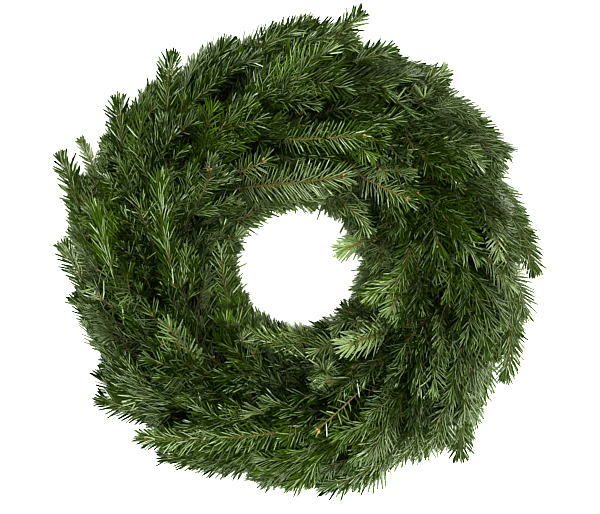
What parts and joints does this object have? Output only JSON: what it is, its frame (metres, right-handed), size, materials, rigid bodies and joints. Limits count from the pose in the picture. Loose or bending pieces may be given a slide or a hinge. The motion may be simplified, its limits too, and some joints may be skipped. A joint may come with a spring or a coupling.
{
  "type": "evergreen wreath",
  "caption": "Fresh evergreen wreath: rows of fir sprigs wired shingle-fashion onto a flat-backed straw ring, with an open round centre.",
  "frame": {"origin": "middle of the wreath's outline, at the level of its flat back", "axes": "+Z out of the wreath's face, away from its flat back; +Y towards the top of the wreath as pictured; +X to its right as pictured"},
  "size_m": [0.4982, 0.4964, 0.1127],
  "materials": {
    "straw": "matte",
    "wire": "satin",
    "fir": "satin"
  },
  "bodies": {
    "root": {"binding_wire": "wire", "sprig_01_crown": "fir", "sprig_01_inner": "fir", "sprig_01_outer": "fir", "sprig_01_shoulder": "fir", "sprig_02_crown": "fir", "sprig_02_inner": "fir", "sprig_02_outer": "fir", "sprig_02_shoulder": "fir", "sprig_03_crown": "fir", "sprig_03_inner": "fir", "sprig_03_outer": "fir", "sprig_03_shoulder": "fir", "sprig_04_crown": "fir", "sprig_04_inner": "fir", "sprig_04_outer": "fir", "sprig_04_shoulder": "fir", "sprig_05_crown": "fir", "sprig_05_inner": "fir", "sprig_05_outer": "fir", "sprig_05_shoulder": "fir", "sprig_06_crown": "fir", "sprig_06_inner": "fir", "sprig_06_outer": "fir", "sprig_06_shoulder": "fir", "sprig_07_crown": "fir", "sprig_07_inner": "fir", "sprig_07_outer": "fir", "sprig_07_shoulder": "fir", "sprig_08_crown": "fir", "sprig_08_inner": "fir", "sprig_08_outer": "fir", "sprig_08_shoulder": "fir", "sprig_09_crown": "fir", "sprig_09_inner": "fir", "sprig_09_outer": "fir", "sprig_09_shoulder": "fir", "sprig_10_crown": "fir", "sprig_10_inner": "fir", "sprig_10_outer": "fir", "sprig_10_shoulder": "fir", "sprig_11_crown": "fir", "sprig_11_inner": "fir", "sprig_11_outer": "fir", "sprig_11_shoulder": "fir", "sprig_12_crown": "fir", "sprig_12_inner": "fir", "sprig_12_outer": "fir", "sprig_12_shoulder": "fir", "sprig_13_crown": "fir", "sprig_13_inner": "fir", "sprig_13_outer": "fir", "sprig_13_shoulder": "fir", "sprig_14_crown": "fir", "sprig_14_inner": "fir", "sprig_14_outer": "fir", "sprig_14_shoulder": "fir", "straw_ring": "straw"}
  },
  "joints": []
}
